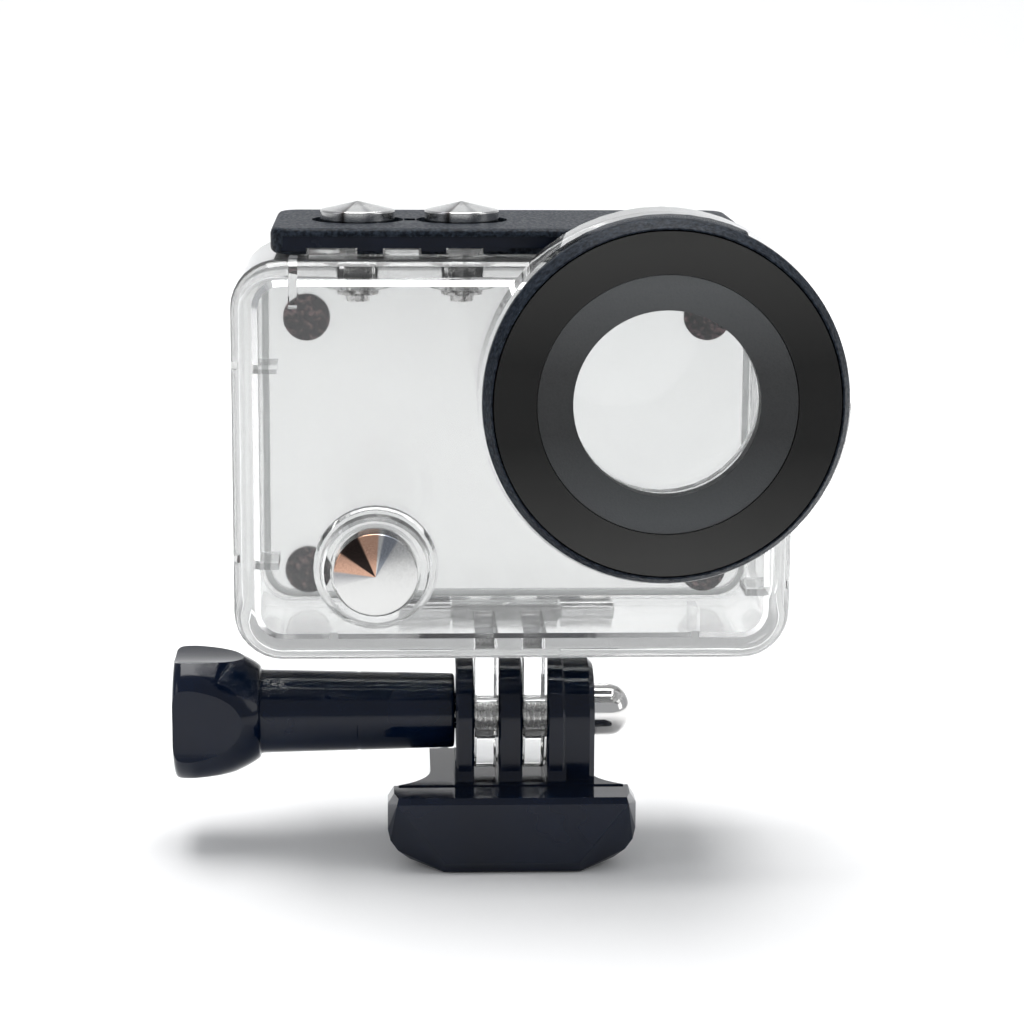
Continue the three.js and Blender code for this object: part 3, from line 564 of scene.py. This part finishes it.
# sections as (radius, place along the axis)
BEZEL_SECTION = [
    (22.5, -21.0), (22.45, -22.3), (21.5, -24.4), (21.3, -24.4), (21.3, -22.95), (16.2, -22.95),
    (16.2, -22.5), (14.6, -22.5), (14.6, -21.8), (20.95, -21.8), (20.95, -21.0)]
TRIM_SECTION = [(15.95, -24.35), (21.15, -24.35), (21.15, -23.1), (15.95, -23.1)]
SHADE_SECTION = [
    (11.45, -20.8), (11.45, -23.2), (15.91, -24.15), (15.91, -22.6), (13.6, -22.6), (13.6, -20.8)]
WINDOW_SECTION = [(0, -20.5), (13.6, -20.5), (13.6, -18.3), (0, -18.3)]
turned_piece("lens_bezel", BEZEL_SECTION, "y", LENS, 0.2, 192)
turned_piece("bezel_trim_ring", TRIM_SECTION, "y", LENS, 0.06, 192)
turned_piece("lens_shade", SHADE_SECTION, "y", LENS, 0.1, 160)
turned_piece("lens_window", WINDOW_SECTION, "y", LENS, 0.3)
o_ring("window_seal", 12.8, 0.4, -17.75, "y", LENS)


def pin(node, radius, half, centre, fillet, segments):
    rod = [(0, -half), (radius, -half), (radius, half), (0, half)]
    turned_piece(node, rod, "x", centre, fillet, segments)


pin("door_hinge_pin", 1.0, 14.4, DOOR_HINGE, 0.2, 48)
pin("latch_pin", 0.5, 27.3, LATCH_HINGE, 0.12, 32)

PAD_R = 3.1
for where in ("upper_left", "upper_right", "lower_left", "lower_right"):
    node = "pad_" + where
    low, high = (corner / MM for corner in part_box(node))
    middle = ((low.x + high.x) / 2, 0, (low.z + high.z) / 2)
    disc = [(0, low.y), (PAD_R, low.y), (PAD_R, high.y), (0, high.y)]
    pad = turned_piece(node, disc, "y", middle, 0.35, 64)


# ---------- buttons ----------
def button(name, radius, rim, out, axis, centre, look):
    """A spun cap with its stem and retaining clip. rim is its place along the axis; out is +1 or -1."""
    peak, skirt, wall, roof, socket_r, socket = -1.1, 3.4, 0.9, 1.35, 2.2, 1.0
    inner = radius - wall
    shape = [(0, peak), (radius - 0.15, -0.02), (radius, 0.15), (radius, skirt), (inner, skirt),
             (inner, roof), (socket_r, roof), (socket_r, socket), (0, socket)]
    cap = [(r, rim - out * depth) for r, depth in shape]
    turned_piece(name + "_cap", cap, axis, centre, 0.1, look=look)
    for node in (name + "_stem", name + "_clip"):
        refined_piece(node, 0.06)


def spring(name, radius, low, high, axis, centre):
    node = name + "_spring"
    wire, turns, per_turn = 0.25, 3, 28
    steps = turns * per_turn
    path = []
    for i in range(steps + 1):
        t = 2 * math.pi * i / per_turn
        level = low + wire + (high - low - 2 * wire) * i / steps
        u, v = radius * math.cos(t), radius * math.sin(t)
        path.append(Vector((u, v, level) if axis == "z" else (u, level, v)) + Vector(centre))
    obj = piece(node, to_metres(sweep(path, wire)))
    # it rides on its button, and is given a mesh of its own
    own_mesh(obj)


TOP_CAP = {"radius": 4.8, "rim": 83.3, "out": 1, "axis": "z"}
TOP_SPRING = {"radius": 3.3, "low": 78.5, "high": 81.85, "axis": "z"}
SEAL = {"radius": 2.15, "wire": 0.45}
button("shutter_button", centre=SHUTTER,
       look=spun_chrome("spun_chrome_shutter", SHUTTER, "top"), **TOP_CAP)
button("mode_button", centre=MODE, look=spun_chrome("spun_chrome_mode", MODE, "top"), **TOP_CAP)
button("power_button", 5.25, -18.0, -1, "y", POWER, spun_chrome("spun_chrome_power", POWER, "front"))
spring("shutter_button", centre=SHUTTER, **TOP_SPRING)
spring("mode_button", centre=MODE, **TOP_SPRING)
spring("power_button", 3.5, -16.55, -12.5, "y", POWER)
o_ring("shutter_button_seal", along=77.5, axis="z", centre=SHUTTER, **SEAL)
o_ring("mode_button_seal", along=77.5, axis="z", centre=MODE, **SEAL)
o_ring("power_button_seal", along=-11.6, axis="y", centre=POWER, **SEAL)


# ---------- stage, light and camera ----------
def stage():
    """A pale floor that curves up into a back wall, just below the part so that they do not touch."""
    half, front, depth, height, bend, bend_steps, below = 3.0, -3.0, 1.6, 3.0, 0.8, 16, 0.0002
    outline = [(front, 0.0), (depth - bend, 0.0)]
    for i in range(1, bend_steps + 1):
        t = math.pi / 2 * i / bend_steps
        outline.append((depth - bend + bend * math.sin(t), bend - bend * math.cos(t)))
    outline.append((depth, height))
    bm = bmesh.new()
    rows = [[bm.verts.new((x, y, z - below)) for x in (-half, half)] for y, z in outline]
    for a, b in zip(rows, rows[1:]):
        bm.faces.new((a[0], a[1], b[1], b[0]))
    floor = new_object("floor", bm)
    shade(floor.data)
    look = Look("pale_floor", (0.9, 0.9, 0.9), 0.7)
    look.rough(look.noise(60, 3), 0.6, 0.8)
    floor.data.materials.append(look.material)


def soft_light(name, place, target, size, power):
    light = bpy.data.lights.new(name, "AREA")
    light.shape = "RECTANGLE"
    light.size, light.size_y = size
    light.energy = power
    obj = bpy.data.objects.new(name, light)
    obj.location = place
    obj.rotation_euler = (Vector(target) - Vector(place)).to_track_quat("-Z", "Y").to_euler()
    bpy.context.scene.collection.objects.link(obj)


def world(colour, strength):
    made = bpy.data.worlds.new("studio")
    made.use_nodes = True
    background = made.node_tree.nodes["Background"]
    background.inputs["Color"].default_value = (*colour, 1.0)
    background.inputs["Strength"].default_value = strength
    bpy.context.scene.world = made


def camera():
    """The photograph's view, as fitted to it: a little from the left and from above."""
    place, focal_mm, near, far = (-0.01518, -0.35443, 0.11508), 97.4, 0.01, 20
    yaw, pitch, roll = math.radians(2.5), math.radians(11.3), math.radians(0.35)
    forward = Vector((math.sin(yaw) * math.cos(pitch), math.cos(yaw) * math.cos(pitch), -math.sin(pitch)))
    level = Vector((math.cos(yaw), -math.sin(yaw), 0))
    upright = level.cross(forward)
    right = level * math.cos(roll) + upright * math.sin(roll)
    up = upright * math.cos(roll) - level * math.sin(roll)
    data = bpy.data.cameras.new("camera")
    data.lens = focal_mm
    data.clip_start, data.clip_end = near, far
    obj = bpy.data.objects.new("camera", data)
    turn = Matrix((right, up, -forward)).transposed().to_4x4()
    obj.matrix_world = Matrix.Translation(place) @ turn
    bpy.context.scene.collection.objects.link(obj)
    bpy.context.scene.camera = obj


stage()
world((0.9, 0.92, 0.95), 0.45)
AIM = (0, 0, 0.04)
soft_light("overhead", (0.0, 0.12, 0.8), AIM, size=(0.6, 0.6), power=7.6)
soft_light("left", (-0.8, -0.35, 0.45), AIM, size=(0.35, 0.6), power=1.1)
soft_light("right", (0.8, -0.3, 0.4), AIM, size=(0.35, 0.6), power=0.9)
soft_light("backdrop", (0.0, 0.35, 0.8), (0, 1.5, 0.25), size=(1.6, 0.5), power=8)
camera()
bpy.context.scene.view_settings.view_transform = "Standard"
